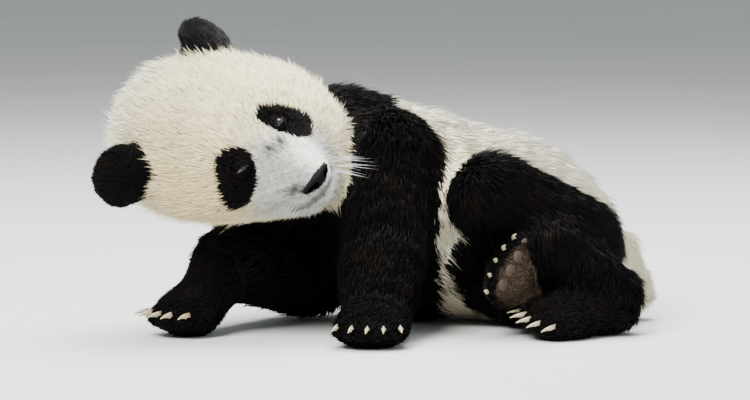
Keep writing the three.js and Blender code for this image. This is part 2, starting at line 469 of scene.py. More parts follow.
def nose_pad(h):
    """1 where the bare nose covers the muzzle, 0 elsewhere."""
    off = np.hypot(h[:, 1] / NOSE_HALF[0], (h[:, 2] - LANDMARKS["nose"][2]) / NOSE_HALF[1])
    return smooth(*NOSE_RIM, off) * smooth(*NOSE_FRONT, h[:, 0])


def sculpted_head(co, normals, on):
    """The head's skin with the parting of the lips, a chin set back under them, and a bed for the nose."""
    h = on_head(co)
    push = -LIP_GROOVE * mouth_line(h)
    push -= CHIN_SET_BACK * smooth(*CHIN_TOP, MOUTH_HEIGHT - h[:, 2]) * smooth(*CHIN_REAR, h[:, 0])
    push -= NOSE_BED * nose_pad(h)
    return co + normals * (push * on)[:, None]


# -------- eyes and lids

EYE_SCALE = 0.93  # the ball against its solid, which leaves room for the lids
LID_THICKNESS = 0.0011
LID_REACH = 0.0165  # the lids' outer edge, from the eye's axis
LID_RINGS, LID_TURNS = 16, 72
LID_EASE = 1.3  # the power by which the rings crowd towards the slit
LID_ALMOND = 0.35  # how much the slit narrows into its corners
LID_SOFTNESS = 0.0022  # how softly the lid runs from the ball onto the face
# the crease's ring, how many rings it is wide, its depth, and the share of it left on the lower lid
LID_CREASE = (5, 1.2, 0.0007, 0.25)
LID_EXCESS = math.log(1 + math.exp(-3))  # how many softnesses the soft run lies too high
LID_ROLL = (0.94, 0.0008)  # the slit's edge rolls in to this share of its size, and this deep into the ball
LID_DROP = 0.0004  # how far the slit's edge lies under the dome of the lids
LID_SINK = 0.002  # how far the lids' outer edge lies under the face
LID_SKIRT = (0.98, 0.006)  # the outer edge turns in to this share of its size, and this deep
LID_GLINT_SPAN = (1.5, 1.25, 0.85)  # where the painted glint along a lower lid's wet edge lies, in slits: where it fades out, and where it begins
EYE_DEPTH = 0.02  # what is further than this along the eye's axis isn't part of the eye
EYE_HOLLOW = (0.001, 0.010)  # how far the skin is pressed back at the lids' outer edge, and behind the ball
# half the slit's length, its height above and below its line, and how far its outer corner is raised
SLIT = {
    "eye_left": (0.0068, 0.0030, 0.0028, math.radians(10)),
    "eye_right": (0.0076, 0.0012, 0.0019, math.radians(14)),
}
EYE_SURROUND = 2.2  # the skin within this many radii of the ball gives the way the eye looks out
EYES = {}  # each eye's frame, which skin_mesh fills in


def eye_frame(name, co, normals):
    """An eye's centre, radius, and axes: along the slit towards the panda's left, upwards, and outwards."""
    middle = centre(name)
    low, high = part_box(name)
    radius = (high - low).x / 2 * EYE_SCALE
    near = np.linalg.norm(co - middle, axis=1) < EYE_SURROUND * radius
    out = unit(normals[near].mean(axis=0))
    along = unit(LEFTWARD - out * (LEFTWARD @ out))
    up = np.cross(out, along)
    tilt = SLIT[name][3] * (1 if name == "eye_left" else -1)
    cos, sin = math.cos(tilt), math.sin(tilt)
    axes = np.array([along * cos + up * sin, up * cos - along * sin, out])
    height = np.median((co[near] - middle) @ out)
    return {"middle": middle, "radius": radius, "axes": axes, "height": height}


def in_eye(name, points):
    """Points in an eye's own axes."""
    eye = EYES[name]
    return (points - eye["middle"]) @ eye["axes"].T


def hollow_eye(name, co):
    """The skin pressed back behind the eye and its lids."""
    x, y, z = in_eye(name, co).T
    rho = np.hypot(x, y)
    eye = EYES[name]
    edge, middle = EYE_HOLLOW
    floor = eye["height"] - edge - middle * smooth(1.0, 0.55, rho / LID_REACH)
    press = (rho < LID_REACH) & (abs(z) < EYE_DEPTH) & (z > floor)
    return co - np.outer(np.where(press, z - floor, 0), eye["axes"][2])


def lids(name):
    """A ring of skin over the eyeball, open along the slit, with a rolled edge and a crease."""
    eye = EYES[name]
    half, above, below, _ = SLIT[name]
    crease_ring, crease_width, crease_depth, crease_below = LID_CREASE
    outer = eye["radius"] + LID_THICKNESS
    turn = np.linspace(0, 2 * math.pi, LID_TURNS, endpoint=False)
    opening = np.where(np.sin(turn) > 0, above, below)
    edge = np.stack([half * np.cos(turn), opening * np.sin(turn) * abs(np.sin(turn)) ** LID_ALMOND], axis=1)
    rim = LID_REACH * np.stack([np.cos(turn), np.sin(turn)], axis=1)
    rings = []

    def ring(xy, z):
        rings.append(np.column_stack([xy, z]))

    inner = edge * LID_ROLL[0]
    ring(inner, np.sqrt(eye["radius"] ** 2 - np.hypot(*inner.T) ** 2) - LID_ROLL[1])
    for step in range(LID_RINGS + 1):
        share = (step / LID_RINGS) ** LID_EASE
        xy = mix(edge, rim, share)
        rho = np.hypot(*xy.T)
        dome = np.sqrt(np.maximum(outer**2 - rho**2, 0)) - LID_DROP * (step == 0)
        plane = eye["height"] - LID_SINK * share
        lift = LID_SOFTNESS * np.log(np.exp(dome / LID_SOFTNESS) + np.exp(plane / LID_SOFTNESS))
        lift -= LID_SOFTNESS * LID_EXCESS
        near = math.exp(-(((step - crease_ring) / crease_width) ** 2))
        crease = crease_depth * near * np.maximum(np.sin(turn), crease_below)
        ring(xy, np.where(step < 2, np.maximum(dome, plane), lift) - crease)
    ring(rim * LID_SKIRT[0], np.full(LID_TURNS, eye["height"] - LID_SKIRT[1]))
    verts = np.concatenate(rings) @ eye["axes"] + eye["middle"]
    count = len(rings)
    faces = []
    for i in range(count):
        a, b = i * LID_TURNS, ((i + 1) % count) * LID_TURNS
        for j in range(LID_TURNS):
            k = (j + 1) % LID_TURNS
            faces.append((a + j, b + j, b + k, a + k))
    return verts, faces


def lid_glints(co, bare):
    """1 along the edge of each lower lid, where a glint of the wet lid is painted."""
    share = np.zeros(len(co))
    for name in EYES:
        x, y, z = in_eye(name, co).T
        half, _, below, _ = SLIT[name]
        off = np.hypot(x / half, y / below)
        edge = smooth(*LID_GLINT_SPAN[:2], off) * (off > LID_GLINT_SPAN[2]) * (y < 0) * (abs(z) < EYE_DEPTH)
        share = np.maximum(share, edge)
    share[:bare] = 0
    return share


def room_for_coat(co, outer, depth):
    """How far the tips of the coat have to reach from each vertex to fill the solids out."""
    room = np.array([outer.find_nearest(Vector(p))[3] for p in co])
    return np.clip(room, depth * LEAST_ROOM, depth + MORE_ROOM)


def skin_mesh():
    """The whole skin, each vertex's part and depth of coat, and the number of the lids' first vertex."""
    mesh = remeshed(grown_solids(FLESH + BALLS, OVERLAP), SKIN_VOXEL)
    bm = bmesh.new()
    bm.from_mesh(mesh)
    keep_largest(bm)
    refine(bm, FACE_REACH)
    refine(bm, MOUTH_REACH)
    bmesh.ops.triangulate(bm, faces=bm.faces)
    bm.to_mesh(mesh)
    bm.free()
    co, tris = corners_of(mesh), triangles_of(mesh)
    edges = edges_of(tris)
    labels = nearest_node(co)
    outer = surface(co, tris)
    co = worn_creases(spread(co, edges, 3), edges, labels)
    depth = spread(coat_depth(co, labels), edges, 12)
    for _ in range(SHRINK_STEPS):
        co = co - vertex_normals(co, tris) * (depth / SHRINK_STEPS)[:, None]
        co = spread(co, edges, 1, keep=0.6)
    depth = spread(room_for_coat(co, outer, depth), edges, 4)
    normals = vertex_normals(co, tris)
    for name in SLIT:
        EYES[name] = eye_frame(name, co, normals)
    co = sculpted_head(co, normals, is_part(labels, "head"))
    for name in EYES:
        co = hollow_eye(name, co)
    bare = len(co)  # vertices from here on are the lids'
    faces = [tuple(t) for t in tris]
    head = FLESH.index("head")
    for name in EYES:
        verts, quads = lids(name)
        start = len(co)
        co = np.concatenate([co, verts])
        faces += [tuple(start + i for i in q) for q in quads]
        labels = np.concatenate([labels, np.full(len(verts), head)])
        depth = np.concatenate([depth, np.full(len(verts), COAT_DEPTH["head"] * LID_COAT)])
    mesh = bpy.data.meshes.new("skin")
    mesh.from_pydata(co.tolist(), [], faces)
    mesh.shade_smooth()
    triangulate(mesh)
    return linked("skin", mesh), labels, depth, bare


# -------- lie of the coat


THIGH_FLOW = (0.62, 0, -0.78)  # the coat of a folded thigh runs back and down
FLANK_FALL = (0, 0, -0.25)  # and that of the trunk runs back and a little down
EAR_ROOT = 0.75  # the ears' coat spreads from this share of the way out to their middles
FLOW_PASSES = 6


def along_limb(node):
    """The way the coat runs on a limb's length: towards the next one, or the claws."""
    part, side = node.rsplit("_", 1)
    after = {"upper_arm": "forearm", "forearm": "paw", "thigh": "shank", "shank": "foot"}
    if part in after:
        return centre(f"{after[part]}_{side}") - centre(node)
    return np.mean([centre(c) for c in CLAWS if c.startswith(node)], axis=0) - centre(node)


def raw_flow(co, labels):
    """The way the coat runs at each vertex, before it is laid on the skin."""
    flow = np.zeros_like(co)
    tailward = unit(centre("tail") - centre("neck"))
    for number, node in enumerate(FLESH):
        pick = labels == number
        part = part_of(node)
        if part == "head":
            flow[pick] = unit(co[pick] - from_head(LANDMARKS["nose"]))
        elif part == "ear":
            root = HEAD_MIDDLE + EAR_ROOT * (centre(node) - HEAD_MIDDLE)
            flow[pick] = unit(co[pick] - root)
        elif part == "neck":
            flow[pick] = unit(centre("trunk") - centre("head"))
        elif part == "trunk":
            flow[pick] = unit(tailward + FLANK_FALL)
        elif part == "tail":
            flow[pick] = unit(centre("tail") - centre("trunk"))
        elif part == "thigh":
            flow[pick] = unit(THIGH_FLOW)
        else:
            flow[pick] = unit(along_limb(node))
    return flow


def lie_of_coat(co, normals, labels, edges):
    """The coat's direction at each vertex: along the skin, and turning gradually between parts."""
    flow = raw_flow(co, labels)
    for _ in range(FLOW_PASSES):
        flow = flow - normals * (flow * normals).sum(axis=1, keepdims=True)
        flow = spread(unit(flow), edges, 6)
    flow = flow - normals * (flow * normals).sum(axis=1, keepdims=True)
    return unit(flow)


# -------- markings

# the dark patch round each eye: its middle leftward and crownward, the way its long axis runs down, half its
# length and width, and how much wider its upper end is
PATCHES = {
    "eye_left": ((0.370, 0.083), (0.490, -0.872), 0.315, 0.145, -0.13),
    "eye_right": ((-0.428, 0.100), (-0.630, -0.777), 0.300, 0.172, 0.18),
}
PATCH_SQUARENESS = 2.6  # the power of the patches' outline, where 2 is an ellipse
PATCH_FRONT = 0.45  # the patches lie forward of this
# the black that runs from the lower ear's root along the head: its ends, and its half width at each
EAR_STREAK = ((-0.05, -0.70, 0.66), (0.185, -0.795, 0.405), 0.105, 0.055)
EAR_MARGIN = 0.008  # how far the ears' black reaches down on the head
EAR_EDGE = 0.003  # half the width of the step at its edge, and at the streak's in half head widths
STREAK_EDGE = 0.02
MARK_EDGE = 0.006  # half the width of the step at the shoulder band's edges
GROIN_REACH = 0.112  # how far the folded foot's black reaches over the belly next to it
GROIN_FADE = (1.06, 0.94)  # and the shares of that between which it comes in
BAND_FRONT = -0.130  # the shoulder band's front edge along the body, at the withers
BAND_TILT = 0.86  # how far its rear edge comes forward for each metre up
BAND_KNEE = 0.230  # the height where the rear edge starts to come forward
BAND_INSET = 0.014  # the rear edge's place in front of the rear of the upper arm
THROAT_TOP = 0.320  # below this height the front edge slants forward, under the throat: partly the chest band's own black, partly painted shade under the head
THROAT_TILT = 1.0
FOLDED_FOOT = "foot_right"  # the one foot whose sole shows
SOLE_FACING = (0.15, 0.55)  # how far the skin has to turn away from the foot's back to be sole
DARK_PARTS = ("ear", "upper_arm", "forearm", "paw", "thigh", "shank", "foot")


def patch_share(h):
    """How far inside an eye patch each place on the head is: above 0 inside, with 0 on its outline."""
    best = np.full(len(h), -1.0)
    for middle, axis, length, width, taper in PATCHES.values():
        place = h[:, 1:] - middle
        along = place @ axis / length
        across = place @ (-axis[1], axis[0]) / (width * (1 - taper * np.clip(along, -1, 1)))
        outline = (abs(along) ** PATCH_SQUARENESS + abs(across) ** PATCH_SQUARENESS) ** (1 / PATCH_SQUARENESS)
        best = np.maximum(best, np.where(h[:, 0] > PATCH_FRONT, 1 - outline, -1))
    return best


def ear_dark(co):
    """1 round the roots of the ears, where their black runs out onto the head."""
    away = np.full(len(co), 1.0)
    for node in ("ear_left", "ear_right"):
        mesh = NODES[node].data
        tree = BVHTree.FromPolygons([v.co for v in mesh.vertices], [p.vertices for p in mesh.polygons])
        away = np.minimum(away, [tree.find_nearest(Vector(p))[3] for p in co])
    start, end, wide, narrow = EAR_STREAK
    from_start, way = on_head(co) - start, np.subtract(end, start)
    along = np.clip(from_start @ way / (way @ way), 0, 1)
    off = np.linalg.norm(from_start - np.outer(along, way), axis=1) - mix(wide, narrow, along)
    return np.maximum(smooth(EAR_EDGE, -EAR_EDGE, away - EAR_MARGIN), smooth(STREAK_EDGE, -STREAK_EDGE, off))


def body_dark(co, labels, edges):
    """1 on the dark parts of the body and 0 on the light ones, with a narrow step between."""
    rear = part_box("upper_arm_left")[1].x - BAND_INSET - BAND_TILT * np.maximum(co[:, 2] - BAND_KNEE, 0)
    # under the throat the band's black is partly painted shade under the head
    front = BAND_FRONT - THROAT_TILT * np.maximum(THROAT_TOP - co[:, 2], 0)
    band = smooth(-MARK_EDGE, MARK_EDGE, np.minimum(rear - co[:, 0], co[:, 0] - front))
    groin = smooth(*GROIN_FADE, np.linalg.norm(co - centre(FOLDED_FOOT), axis=1) / GROIN_REACH)
    dark = np.maximum(is_part(labels, *DARK_PARTS), is_part(labels, "head") * ear_dark(co))
    dark = np.maximum(dark, np.maximum(groin, band * is_part(labels, "trunk", "neck")))
    return spread(dark, edges, 4)


def foot_axes(foot):
    """A foot's own axes: ahead, across from the first claw to the last, and out of its back."""
    first, last = centre(f"{foot}_claw_1"), centre(f"{foot}_claw_5")
    across = unit(last - first)
    ahead = (first + last) / 2 - centre(foot)
    ahead = unit(ahead - across * (ahead @ across))
    return np.array([ahead, across, np.cross(ahead, across)])


def sole_share(normals, labels):
    """1 on the sole of the folded hind foot, 0 elsewhere."""
    foot = labels == FLESH.index(FOLDED_FOOT)
    return smooth(*SOLE_FACING, -normals @ foot_axes(FOLDED_FOOT)[2]) * foot


COLOUR_ROUNDS = 25  # rounds by which one part's cream runs into the next
BROWN_EDGE = (0.97, 0.6)  # the shares of black between which its edge turns brown, behind these places
BROWN_FRONT = (0.1, 0.2)
DULL_HEIGHTS = (0.22, 0.05)  # the body's cream dulls down between these heights, to this share of the rump's
DULL_SHARE = 0.85
MUZZLE_FADE = (0.85, 0.50)  # the distances from the nose between which the cream turns into the muzzle's grey
LIT_BAND_SIDE = 0.20  # painted light: a white band along the muzzle's upturned left side, its place leftward on the muzzle, and the distances that it fades in by
LIT_BAND_FADE = (0.30, 0.08)
CHEEK_SIDE = (0.05, -0.75)  # the places leftward and forward between which the lower cheek turns yellower and darker: partly the coat's own yellow, partly painted shade on the cheek turned down from the light
CHEEK_FRONT = (1.0, 0.6)
# the dark flecks on the muzzle: the place of each leftward and crownward, its size, and how dark it is
SMUDGES = (
    ((-0.198, -0.320), 0.055, 1.0),
    ((0.118, 0.010), 0.052, 1.0),
    ((-0.015, 0.039), 0.044, 1.0),
    ((-0.130, -0.370), 0.040, 0.9),
    ((0.050, -0.020), 0.070, 0.5),
)


def light_colour(co, labels, edges):
    """The cream at each vertex: yellower on the lower cheek, partly as painted shade, whiter on the back,
    grey on the muzzle with painted light along its upturned side, painted shade over the parting of the lips,
    and dull below.
    """
    own = {**dict.fromkeys(COAT_DEPTH, CREAM), "trunk": CREAM_BACK, "neck": CREAM_BACK, "tail": CREAM_RUMP}
    on = is_part(labels, "head")
    low = smooth(*DULL_HEIGHTS, co[:, 2]) * ~on
    colour = blend(by_part(own, labels), np.array(CREAM_RUMP) * DULL_SHARE, low)
    h = on_head(co)
    # the lower cheek: partly the coat's own yellow, partly painted shade
    colour = blend(colour, CREAM_YELLOW_AND_SHADE, on * smooth(*CHEEK_SIDE, h[:, 1]) * smooth(*CHEEK_FRONT, h[:, 0]))
    colour = blend(colour, CREAM_BACK, on * back_share(h))
    colour = spread(colour, edges, COLOUR_ROUNDS)
    muzzle = smooth(*MUZZLE_FADE, nose_distance(h)) * on
    lit_band = smooth(*LIT_BAND_FADE, abs(h[:, 1] - LIT_BAND_SIDE))
    mottled = 1 + 0.20 * ripple(co, 0.007, 4) + 0.14 * ripple(co, 0.016, 6)
    # painted light: the muzzle's upturned left side is white and less mottled, over its grey
    face = blend(MUZZLE_GREY, CREAM_WHITE, lit_band) * mix(mottled, 1, 0.6 * lit_band)[:, None]
    colour = blend(colour, face, muzzle)
    for middle, size, share in SMUDGES:
        away = np.linalg.norm(h[:, 1:] - middle, axis=1) / size * (1 + 0.3 * ripple(co, 0.006, 8))
        colour = blend(colour, DARK_FLECK_AND_SHADE, share * np.exp(-(away**2)) * on * (h[:, 0] > 0.5))
    # painted shade: the coat over the parting of the lips darkens, as in the mouth's crease
    shade = MOUTH_SHADE * along_mouth(h, MOUTH_SHADE_RISE, MOUTH_SHADE_WIDTH)
    colour = blend(colour, DARK_FLECK_AND_SHADE, shade * on)
    return colour * (1 + 0.03 * ripple(co, 0.06, 3))[:, None]


def dark_colour(co, dark, sole):
    """The black of the coat: browner where it meets the cream, and grey-brown on the sole."""
    edge = smooth(*BROWN_EDGE, dark) * smooth(*BROWN_FRONT, co[:, 0])
    colour = blend(BLACK, BLACK_BROWN, edge * 0.6 + 0.12 * np.clip(ripple(co, 0.05, 5), 0, 1))
    return blend(colour, SOLE, sole)


# -------- the skin and its fields


def unwrap(obj):
    """Lays the skin out flat, as the map that its coat's tufts also take their places from."""
    obj.data.uv_layers.new(name="OFBake")
    bpy.context.view_layer.objects.active = obj
    obj.select_set(True)
    bpy.ops.object.mode_set(mode="EDIT")
    bpy.ops.mesh.select_all(action="SELECT")
    bpy.ops.uv.smart_project(angle_limit=math.radians(66), island_margin=0.002)
    bpy.ops.object.mode_set(mode="OBJECT")
    uv = np.empty(len(obj.data.loops) * 2, np.float32)
    obj.data.uv_layers["OFBake"].data.foreach_get("uv", uv)
    return uv.reshape(-1, 3, 2).astype(float)


def paint(mesh, colours):
    """Keeps a colour at each vertex, which the materials read under the name coat."""
    layer = mesh.color_attributes.new("coat", "FLOAT_COLOR", "POINT")
    opaque = np.column_stack([colours, np.ones(len(colours))])
    layer.data.foreach_set("color", opaque.astype(np.float32).ravel())


def skin_fields():
    """The skin, and all that its tufts need to know at each of its vertices and triangles."""
    obj, labels, depth, bare = skin_mesh()
    co, tris = corners_of(obj.data), triangles_of(obj.data)
    edges = edges_of(tris)
    normals = vertex_normals(co, tris)
    flow = lie_of_coat(co, normals, labels, edges)
    dark = body_dark(co, labels, edges)
    sole = sole_share(normals, labels)
    on = is_part(labels, "head")
    h = on_head(co)
    share = face_share(h)
    ruff = smooth(*RUFF_SIDE, abs(h[:, 1])) * smooth(*RUFF_TOP, h[:, 2])
    head_length = mix(NOSE_TUFT[0], TUFT_LENGTH["head"], share) * (1 + RUFF * ruff)
    head_length = mix(head_length, TUFT_LENGTH["neck"], back_share(h))
    head_spacing = mix(mix(NOSE_TUFT[1], TUFT_SPACING["head"], share), TUFT_SPACING["neck"], back_share(h))
    length = mix(np.where(on, head_length, by_part(TUFT_LENGTH, labels)), SOLE_TUFT[0], sole)
    spacing = mix(np.where(on, head_spacing, by_part(TUFT_SPACING, labels)), SOLE_TUFT[1], sole)
    underneath = smooth(*UNDER_HEIGHTS, co[:, 2]) * smooth(*UNDER_FACING, normals[:, 2])
    spacing = spacing * (1 + UNDER_THINNING * underneath)
    fields = {
        "normal": normals,
        "flow": flow,
        "depth": spread(depth, edges, 2),
        "length": spread(length, edges, 6),
        "spacing": spread(spacing, edges, 6),
        "dark": dark,
        "sole": sole,
        "head": on.astype(float),
        "light_colour": light_colour(co, labels, edges),
        "dark_colour": dark_colour(co, dark, sole),
    }
    return obj, co, tris, fields, bare


BARE_RIM = 0.0016  # the width of the bare edge round each slit
NOSE_BARE = (0.1, 0.4)  # the coat ends between these shares of the nose's place, and of the mouth's line
LIP_BARE = (0.6, 0.9)
LID_COVER = 0.86  # the share of the lids' reach within which no coat grows on the skin behind them


def bare_places(co, bare):
    """1 where no tuft grows: the nose, the lips, the eyes' rims and the skin behind the lids."""
    h = on_head(co)
    lips = smooth(*LIP_BARE, mouth_line(h)) * (h[:, 0] > MUZZLE_REAR)
    closed = np.maximum(smooth(*NOSE_BARE, nose_pad(h)), lips)
    for name in EYES:
        x, y, z = in_eye(name, co).T
        half, above, below, _ = SLIT[name]
        near = abs(z) < EYE_DEPTH
        rim = np.hypot(x / (half + BARE_RIM), y / (np.where(y > 0, above, below) + BARE_RIM))
        closed = np.maximum(closed, near * smooth(1.1, 1.0, rim))
        under = near & (np.hypot(x, y) < LID_REACH * LID_COVER)
        under[bare:] = False
        closed = np.maximum(closed, under)
    return closed


# -------- coat


def sample_roots(co, tris, spacing, closed):
    """Places for the tufts, evenly over the skin: the triangle of each, and its weights of the corners."""
    a, b, c = (co[tris[:, k]] for k in range(3))
    area = np.linalg.norm(np.cross(b - a, c - a), axis=1) / 2
    room = area / spacing[tris].mean(axis=1) ** 2 * (1 - closed[tris].mean(axis=1))
    total = np.cumsum(room)
    count = int(total[-1])
    at = (np.arange(count) + RANDOM.uniform(0, 1, count)) * total[-1] / count
    which = np.minimum(np.searchsorted(total, at), len(tris) - 1)
    r = np.sqrt(RANDOM.uniform(0, 1, count))
    s = RANDOM.uniform(0, 1, count)
    return which, np.column_stack([1 - r, r * (1 - s), r * s])


def at_roots(values, tris, which, weights):
    """A field's value at each root."""
    corners = values[tris[which]]
    if values.ndim == 1:
        return (corners * weights).sum(axis=1)
    return (corners * weights[:, :, None]).sum(axis=1)


CLUMP_TUFTS = 16  # tufts that lean together into one lock
STRAY_SHARE = 0.05  # the share of guard hairs, which stand out of the coat, on the body and on the head
HEAD_STRAY_SHARE = 0.14


def gathered(roots, tips, pull):
    """The tips of the tufts drawn towards the tips of the locks that they belong to."""
    chosen = RANDOM.choice(len(roots), len(roots) // CLUMP_TUFTS, replace=False)
    tree = KDTree(len(chosen))
    for number, place in enumerate(roots[chosen]):
        tree.insert(place, number)
    tree.balance()
    leader = chosen[[tree.find(p)[1] for p in roots]]
    return tips + (tips[leader] - tips) * pull[:, None]


STRAY_LENGTH = (1.15, 1.45)  # how much longer guard hairs are, on the body and on the head
STRAY_RISE = (1.3, 1.15)  # and how much more they stand out
BEND = (1.35, 0.55)  # a tuft's rise at its root and at its tip, against its mean rise
BEND_PLACE = 0.42  # where along its length it bends
PULL = (0.18, 0.126)  # how far locks draw their tufts together, on the body and on the head
ROOT_SINK = 0.001  # how deep the tufts' roots lie in the skin
FLOOR_GAP = (0.0015, 0.0008)  # the middles and tips of the tufts stay this far over the floor


def shape_tufts(roots, f):
    """Each tuft's root, middle and tip, and the two directions across it."""
    count = len(roots)
    normal, flow = unit(f["normal"]), unit(f["flow"])
    across = np.cross(flow, normal)
    # tufts turn off the lie of the coat in broad waves, in small ones and one by one
    sway = 0.13 * ripple(roots, 0.07, 11) + 0.11 * ripple(roots, 0.016, 12) + RANDOM.normal(0, 0.14, count)
    run = flow * np.cos(sway)[:, None] + across * np.sin(sway)[:, None]
    stray = RANDOM.uniform(0, 1, count) < mix(STRAY_SHARE, HEAD_STRAY_SHARE, f["head"])
    length = f["length"] * RANDOM.uniform(0.78, 1.15, count) * (1 + 0.1 * ripple(roots, 0.04, 13))
    length *= np.where(stray, mix(*STRAY_LENGTH, f["head"]), 1)
    rise = np.clip(f["depth"] / f["length"], 0.1, 0.8) * RANDOM.uniform(0.75, 1.12, count)
    rise *= (1 + 0.06 * ripple(roots, 0.02, 14)) * np.where(stray, mix(*STRAY_RISE, f["head"]), 1)
    steep, flat = rise * BEND[0], rise * BEND[1]
    first = unit(run * np.sqrt(1 - np.clip(steep, 0, 0.95) ** 2)[:, None] + normal * steep[:, None])
    last = unit(run + normal * flat[:, None])
    middle = roots + first * (BEND_PLACE * length)[:, None]
    straight = middle + last * ((1 - BEND_PLACE) * length)[:, None]
    tips = gathered(roots, straight, mix(*PULL, f["head"]) * RANDOM.uniform(0.6, 1.2, count))
    middle = middle + (tips - straight) * 0.35
    middle[:, 2] = np.maximum(middle[:, 2], FLOOR_GAP[0])
    tips[:, 2] = np.maximum(tips[:, 2], FLOOR_GAP[1])
    roots = roots - normal * ROOT_SINK
    axis = unit(tips - roots)
    side = unit(np.cross(axis, normal))
    over = np.cross(side, axis)
    width = TUFT_WIDTH * f["spacing"] * RANDOM.uniform(0.75, 1.25, count) * np.where(stray, 0.6, 1)
    return roots, middle, tips, side * width[:, None] / 2, over * width[:, None] * TUFT_THICKNESS


TUFT_FACES = np.array([(1, 2, 4), (1, 4, 3), (2, 3, 4), (2, 1, 0), (1, 3, 0), (2, 0, 3)])
TUFT_PAINTED_SHADE = np.array([0.80, 0.97, 0.97, 1.0, 1.05])  # painted shade and light along a tuft: its brightness at root, sides, ridge and tip, darkest at the root deep in the coat and lightest at the tip
TUFT_PATCH = np.array([(0, -1), (-1, 0), (1, 0), (0, 0.35), (0, 1)]) * BAKE_PATCH / 2


def tuft_object(name, parts, colours, uv, material):
    """One piece of the coat, as a mesh of closed tufts, with painted shade that darkens them towards the
    root.
    """
    roots, middle, tips, side, over = parts
    count = len(roots)
    verts = np.stack([roots, middle - side, middle + side, middle + over, tips], axis=1)
    index = (TUFT_FACES[None] + 5 * np.arange(count)[:, None, None]).reshape(-1, 3)
    mesh = bpy.data.meshes.new(name)
    mesh.vertices.add(5 * count)
    mesh.vertices.foreach_set("co", verts.astype(np.float32).ravel())
    mesh.loops.add(index.size)
    mesh.loops.foreach_set("vertex_index", index.astype(np.int32).ravel())
    mesh.polygons.add(len(index))
    mesh.polygons.foreach_set("loop_start", np.arange(0, index.size, 3, dtype=np.int32))
    mesh.update(calc_edges=True)
    # painted shade and light: each tuft darkens towards its root and brightens towards its tip
    paint(mesh, (colours[:, None, :] * TUFT_PAINTED_SHADE[None, :, None]).reshape(-1, 3))
    layer = mesh.uv_layers.new(name="OFBake")
    places = (uv[:, None, :] + TUFT_PATCH[None]).reshape(-1, 2)[index.ravel()]
    layer.data.foreach_set("uv", np.clip(places, 0, 1).astype(np.float32).ravel())
    mesh.materials.append(material)
    obj = linked(name, mesh)
    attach(obj, "root")


EDGE_SCATTER = 0.05  # how unevenly light and dark tufts mingle where the markings end
WARMTH = np.array([1.0, 0.99, 0.95])  # what tints the cream from tuft to tuft


def grow_coat(co, tris, uv, fields, bare, light, dark):
    """All of the coat, in light pieces and dark ones."""
    closed = bare_places(co, bare)
    which, weights = sample_roots(co, tris, fields["spacing"], closed)
    roots = at_roots(co, tris, which, weights)
    f = {name: at_roots(values, tris, which, weights) for name, values in fields.items()}
    places = (uv[which] * weights[:, :, None]).sum(axis=1)
    parts = shape_tufts(roots, f)
    seen = roots * 0.45 + parts[2] * 0.55  # where a tuft's colour shows
    edge = EDGE_SCATTER * RANDOM.normal(size=len(roots))
    patch = np.where(f["head"] > 0.5, patch_share(on_head(seen)), -1) > edge * 0.8
    black = patch | (f["dark"] + edge > 0.5)
    tone = RANDOM.normal(0, 0.035, len(roots)) + 0.03 * ripple(roots, 0.012, 21)
    warm = WARMTH ** RANDOM.uniform(0, 2, len(roots))[:, None]
    for name, pick, colour, contrast, material in (
        ("cream", ~black, f["light_colour"] * warm, 1, light),
        ("black", black, f["dark_colour"], 3, dark),
    ):
        numbers = np.flatnonzero(pick)
        for k, chunk in enumerate(np.array_split(numbers, -(-len(numbers) // TUFT_LIMIT))):
            tuft_object(
                f"coat_{name}_{k + 1}",
                [p[chunk] for p in parts],
                colour[chunk] * (1 + tone[chunk] * contrast)[:, None],
                places[chunk],
                material,
            )


# -------- materials


class Nodes:
    """A material's node tree, with a short way to add nodes and join them."""

    def __init__(self, name):
        self.material = bpy.data.materials.new(name)
        self.material.use_nodes = True
        self.tree = self.material.node_tree
        self.shader = self.tree.nodes["Principled BSDF"]

    def add(self, kind, **inputs):
        node = self.tree.nodes.new(kind)
        for name, value in inputs.items():
            self.put(node, name.replace("_", " "), value)
        return node

    def put(self, node, name, value):
        if isinstance(value, bpy.types.NodeSocket):
            self.tree.links.new(value, node.inputs[name])
        else:
            node.inputs[name].default_value = value

    def finish(self, **inputs):
        for name, value in inputs.items():
            self.put(self.shader, name.replace("_", " "), value)
        return self.material

    def noise(self, scale, detail):
        """Noise in the object's own space."""
        place = self.add("ShaderNodeTexCoord").outputs["Object"]
        return self.add("ShaderNodeTexNoise", Vector=place, Scale=scale, Detail=detail).outputs["Fac"]

    def ramp(self, fac, *stops):
        """A colour for each of a few values of fac."""
        node = self.add("ShaderNodeValToRGB", Fac=fac)
        elements = node.color_ramp.elements
        while len(elements) < len(stops):
            elements.new(0.5)
        for element, (place, colour) in zip(elements, stops):
            element.position = place
            element.color = (*colour, 1)
        return node.outputs["Color"]

    def coat(self, scale, detail, low):
        """The colour kept at the vertices, with noise that takes it down towards a share of itself."""
        dim = self.ramp(self.noise(scale, detail), (0.3, np.broadcast_to(low, 3)), (0.7, (1, 1, 1)))
        node = self.tree.nodes.new("ShaderNodeMix")
        node.data_type = "RGBA"
        node.blend_type = "MULTIPLY"
        node.inputs["Factor"].default_value = 1
        colours = [socket for socket in node.inputs if socket.type == "RGBA"]
        self.tree.links.new(self.painted(), colours[0])
        self.tree.links.new(dim, colours[1])
        return next(socket for socket in node.outputs if socket.type == "RGBA")

    def grain(self, scale, depth, strength):
        """The bump of grained leather."""
        place = self.add("ShaderNodeTexCoord").outputs["Object"]
        cells = self.add("ShaderNodeTexVoronoi", Vector=place, Scale=scale).outputs["Distance"]
        return self.bump(cells, depth, strength)

    def bump(self, height, depth, strength=1.0):
        return self.add("ShaderNodeBump", Height=height, Distance=depth, Strength=strength).outputs["Normal"]

    def painted(self):
        """The colour kept at the vertices."""
        node = self.tree.nodes.new("ShaderNodeAttribute")
        node.attribute_name = "coat"
        return node.outputs["Color"]


